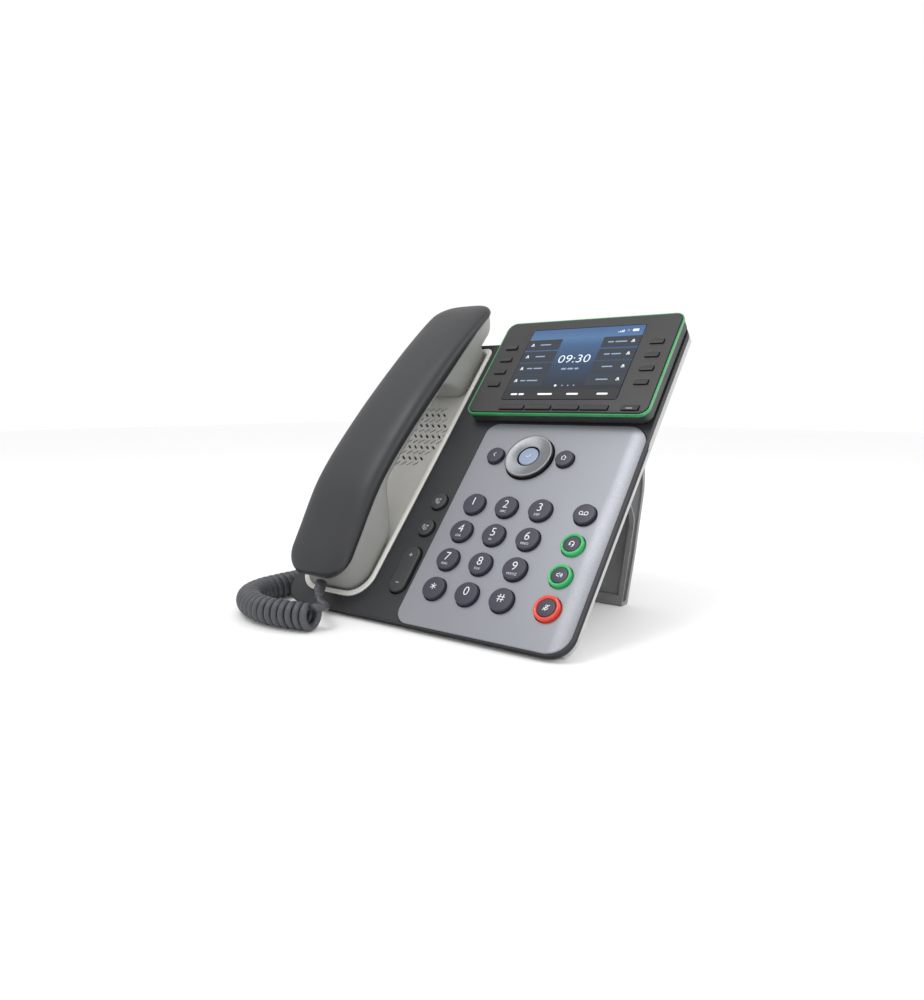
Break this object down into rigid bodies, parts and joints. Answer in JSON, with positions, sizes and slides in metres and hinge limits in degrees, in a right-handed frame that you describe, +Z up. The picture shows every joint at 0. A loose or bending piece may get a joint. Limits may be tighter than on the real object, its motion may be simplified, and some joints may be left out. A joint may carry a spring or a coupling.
{
  "type": "desk ip phone",
  "caption": "Sloping desk phone with a colour screen head, round-key pad, corded handset in a cradle, and a rear stand.",
  "frame": {"origin": "on the table, at the middle of the phone's footprint without its cord", "axes": "+X to the user's right, +Y away from the user, +Z up"},
  "size_m": [0.2172, 0.1889, 0.1814],
  "materials": {
    "housing_plastic": "fine grained dark grey",
    "plate_coat": "satin silver-grey coating",
    "shell_plastic": "fine grained light grey",
    "cradle_plastic": "fine grained off-white grey",
    "bezel_plastic": "fine dark grey",
    "light_ring": "translucent green light guide",
    "head_plastic": "satin mid grey",
    "screen_glass": "clear cover lens",
    "lcd": "colour display panel",
    "dial_key": "dark grey with white legends",
    "silver_ring": "satin silver",
    "select_cap": "pale blue-silver",
    "rocker_plastic": "dark grey",
    "display_key": "dark grey",
    "mat_silicone": "silicone key mat",
    "board": "green circuit board",
    "capsule": "black",
    "handset_back": "fine grained dark grey",
    "handset_inner": "fine grained light grey",
    "hook_plastic": "dark grey",
    "stand_plastic": "fine grained light grey",
    "jack_plastic": "black",
    "foot_rubber": "soft black",
    "cord_jacket": "dark grey flexible jacket",
    "plug_plastic": "smoky modular plug"
  },
  "bodies": {
    "base": {"front_housing": "housing_plastic", "keypad_plate": "plate_coat", "rear_shell": "shell_plastic", "handset_cradle": "cradle_plastic", "display_bezel": "bezel_plastic", "display_light_ring": "light_ring", "display_housing": "head_plastic", "display_window": "screen_glass", "lcd_panel": "lcd", "keypad_mat": "mat_silicone", "main_board": "board", "loudspeaker": "capsule", "desk_stand": "stand_plastic", "network_jacks": "jack_plastic", "front_foot": "foot_rubber", "handset_coil": "cord_jacket", "handset_lead": "cord_jacket", "handset_tail": "cord_jacket", "cord_plug": "plug_plastic"},
    "handset": {"handset_back_shell": "handset_back", "handset_inner_shell": "handset_inner", "earpiece_capsule": "capsule", "microphone_capsule": "capsule"},
    "hook": {"hook_plunger": "hook_plastic"},
    "key_1": {"key_1": "dial_key"},
    "key_2": {"key_2": "dial_key"},
    "key_3": {"key_3": "dial_key"},
    "key_4": {"key_4": "dial_key"},
    "key_5": {"key_5": "dial_key"},
    "key_6": {"key_6": "dial_key"},
    "key_7": {"key_7": "dial_key"},
    "key_8": {"key_8": "dial_key"},
    "key_9": {"key_9": "dial_key"},
    "key_star": {"key_star": "dial_key"},
    "key_0": {"key_0": "dial_key"},
    "key_hash": {"key_hash": "dial_key"},
    "key_voicemail": {"key_voicemail": "dial_key"},
    "key_headset": {"key_headset": "dial_key"},
    "key_speaker": {"key_speaker": "dial_key"},
    "key_mute": {"key_mute": "dial_key"},
    "key_back": {"key_back": "dial_key"},
    "key_home": {"key_home": "dial_key"},
    "key_hold": {"key_hold": "dial_key"},
    "key_transfer": {"key_transfer": "dial_key"},
    "key_select": {"key_select": "select_cap"},
    "navigation_ring": {"navigation_ring": "silver_ring"},
    "volume_rocker": {"volume_rocker": "rocker_plastic"},
    "line_key_left_1": {"line_key_left_1": "display_key"},
    "line_key_left_2": {"line_key_left_2": "display_key"},
    "line_key_left_3": {"line_key_left_3": "display_key"},
    "line_key_left_4": {"line_key_left_4": "display_key"},
    "line_key_right_1": {"line_key_right_1": "display_key"},
    "line_key_right_2": {"line_key_right_2": "display_key"},
    "line_key_right_3": {"line_key_right_3": "display_key"},
    "line_key_right_4": {"line_key_right_4": "display_key"},
    "soft_key_1": {"soft_key_1": "display_key"},
    "soft_key_2": {"soft_key_2": "display_key"},
    "soft_key_3": {"soft_key_3": "display_key"},
    "soft_key_4": {"soft_key_4": "display_key"},
    "pill_key": {"pill_key": "display_key"}
  },
  "joints": [
    {"name": "handset_lift", "type": "slide", "parent": "base", "child": "handset", "axis": [0, -0.7478, 0.6639], "range_m": [0, 0.1]},
    {"name": "hook_rise", "type": "slide", "parent": "base", "child": "hook", "axis": [0, -0.7478, 0.6639], "range_m": [0, 0.003]},
    {"name": "press_key_1", "type": "slide", "parent": "base", "child": "key_1", "axis": [0, 0.7478, -0.6639], "range_m": [0, 0.001], "stiffness_N_per_m": 600},
    {"name": "press_key_2", "type": "slide", "parent": "base", "child": "key_2", "axis": [0, 0.7478, -0.6639], "range_m": [0, 0.001], "stiffness_N_per_m": 600},
    {"name": "press_key_3", "type": "slide", "parent": "base", "child": "key_3", "axis": [0, 0.7478, -0.6639], "range_m": [0, 0.001], "stiffness_N_per_m": 600},
    {"name": "press_key_4", "type": "slide", "parent": "base", "child": "key_4", "axis": [0, 0.7478, -0.6639], "range_m": [0, 0.001], "stiffness_N_per_m": 600},
    {"name": "press_key_5", "type": "slide", "parent": "base", "child": "key_5", "axis": [0, 0.7478, -0.6639], "range_m": [0, 0.001], "stiffness_N_per_m": 600},
    {"name": "press_key_6", "type": "slide", "parent": "base", "child": "key_6", "axis": [0, 0.7478, -0.6639], "range_m": [0, 0.001], "stiffness_N_per_m": 600},
    {"name": "press_key_7", "type": "slide", "parent": "base", "child": "key_7", "axis": [0, 0.7478, -0.6639], "range_m": [0, 0.001], "stiffness_N_per_m": 600},
    {"name": "press_key_8", "type": "slide", "parent": "base", "child": "key_8", "axis": [0, 0.7478, -0.6639], "range_m": [0, 0.001], "stiffness_N_per_m": 600},
    {"name": "press_key_9", "type": "slide", "parent": "base", "child": "key_9", "axis": [0, 0.7478, -0.6639], "range_m": [0, 0.001], "stiffness_N_per_m": 600},
    {"name": "press_key_star", "type": "slide", "parent": "base", "child": "key_star", "axis": [0, 0.7478, -0.6639], "range_m": [0, 0.001], "stiffness_N_per_m": 600},
    {"name": "press_key_0", "type": "slide", "parent": "base", "child": "key_0", "axis": [0, 0.7478, -0.6639], "range_m": [0, 0.001], "stiffness_N_per_m": 600},
    {"name": "press_key_hash", "type": "slide", "parent": "base", "child": "key_hash", "axis": [0, 0.7478, -0.6639], "range_m": [0, 0.001], "stiffness_N_per_m": 600},
    {"name": "press_key_voicemail", "type": "slide", "parent": "base", "child": "key_voicemail", "axis": [0, 0.7478, -0.6639], "range_m": [0, 0.001], "stiffness_N_per_m": 600},
    {"name": "press_key_headset", "type": "slide", "parent": "base", "child": "key_headset", "axis": [0, 0.7478, -0.6639], "range_m": [0, 0.001], "stiffness_N_per_m": 600},
    {"name": "press_key_speaker", "type": "slide", "parent": "base", "child": "key_speaker", "axis": [0, 0.7478, -0.6639], "range_m": [0, 0.001], "stiffness_N_per_m": 600},
    {"name": "press_key_mute", "type": "slide", "parent": "base", "child": "key_mute", "axis": [0, 0.7478, -0.6639], "range_m": [0, 0.001], "stiffness_N_per_m": 600},
    {"name": "press_key_back", "type": "slide", "parent": "base", "child": "key_back", "axis": [0, 0.7478, -0.6639], "range_m": [0, 0.001], "stiffness_N_per_m": 600},
    {"name": "press_key_home", "type": "slide", "parent": "base", "child": "key_home", "axis": [0, 0.7478, -0.6639], "range_m": [0, 0.001], "stiffness_N_per_m": 600},
    {"name": "press_key_hold", "type": "slide", "parent": "base", "child": "key_hold", "axis": [0, 0.7478, -0.6639], "range_m": [0, 0.001], "stiffness_N_per_m": 600},
    {"name": "press_key_transfer", "type": "slide", "parent": "base", "child": "key_transfer", "axis": [0, 0.7478, -0.6639], "range_m": [0, 0.001], "stiffness_N_per_m": 600},
    {"name": "press_key_select", "type": "slide", "parent": "base", "child": "key_select", "axis": [0, 0.7478, -0.6639], "range_m": [0, 0.0006], "stiffness_N_per_m": 600},
    {"name": "press_line_key_left_1", "type": "slide", "parent": "base", "child": "line_key_left_1", "axis": [0, 0.7478, -0.6639], "range_m": [0, 0.0005], "stiffness_N_per_m": 600},
    {"name": "press_line_key_left_2", "type": "slide", "parent": "base", "child": "line_key_left_2", "axis": [0, 0.7478, -0.6639], "range_m": [0, 0.0005], "stiffness_N_per_m": 600},
    {"name": "press_line_key_left_3", "type": "slide", "parent": "base", "child": "line_key_left_3", "axis": [0, 0.7478, -0.6639], "range_m": [0, 0.0005], "stiffness_N_per_m": 600},
    {"name": "press_line_key_left_4", "type": "slide", "parent": "base", "child": "line_key_left_4", "axis": [0, 0.7478, -0.6639], "range_m": [0, 0.0005], "stiffness_N_per_m": 600},
    {"name": "press_line_key_right_1", "type": "slide", "parent": "base", "child": "line_key_right_1", "axis": [0, 0.7478, -0.6639], "range_m": [0, 0.0005], "stiffness_N_per_m": 600},
    {"name": "press_line_key_right_2", "type": "slide", "parent": "base", "child": "line_key_right_2", "axis": [0, 0.7478, -0.6639], "range_m": [0, 0.0005], "stiffness_N_per_m": 600},
    {"name": "press_line_key_right_3", "type": "slide", "parent": "base", "child": "line_key_right_3", "axis": [0, 0.7478, -0.6639], "range_m": [0, 0.0005], "stiffness_N_per_m": 600},
    {"name": "press_line_key_right_4", "type": "slide", "parent": "base", "child": "line_key_right_4", "axis": [0, 0.7478, -0.6639], "range_m": [0, 0.0005], "stiffness_N_per_m": 600},
    {"name": "press_soft_key_1", "type": "slide", "parent": "base", "child": "soft_key_1", "axis": [0, 0.7478, -0.6639], "range_m": [0, 0.0005], "stiffness_N_per_m": 600},
    {"name": "press_soft_key_2", "type": "slide", "parent": "base", "child": "soft_key_2", "axis": [0, 0.7478, -0.6639], "range_m": [0, 0.0005], "stiffness_N_per_m": 600},
    {"name": "press_soft_key_3", "type": "slide", "parent": "base", "child": "soft_key_3", "axis": [0, 0.7478, -0.6639], "range_m": [0, 0.0005], "stiffness_N_per_m": 600},
    {"name": "press_soft_key_4", "type": "slide", "parent": "base", "child": "soft_key_4", "axis": [0, 0.7478, -0.6639], "range_m": [0, 0.0005], "stiffness_N_per_m": 600},
    {"name": "press_pill_key", "type": "slide", "parent": "base", "child": "pill_key", "axis": [0, 0.7478, -0.6639], "range_m": [0, 0.0005], "stiffness_N_per_m": 600},
    {"name": "rock_navigation_ring", "type": "hinge", "parent": "base", "child": "navigation_ring", "pos_m": [0.0296, 0.00595, 0.0831], "axis": [1, 0, 0], "range_deg": [-2, 2], "stiffness_Nm_per_rad": 0.2},
    {"name": "rock_volume_rocker", "type": "hinge", "parent": "base", "child": "volume_rocker", "pos_m": [-0.0166, -0.04683, 0.02365], "axis": [1, 0, 0], "range_deg": [-2.4, 2.4], "stiffness_Nm_per_rad": 0.2}
  ],
  "couplings": [
    {"joint": "hook_rise", "follows": "handset_lift", "ratio": 0.03}
  ]
}
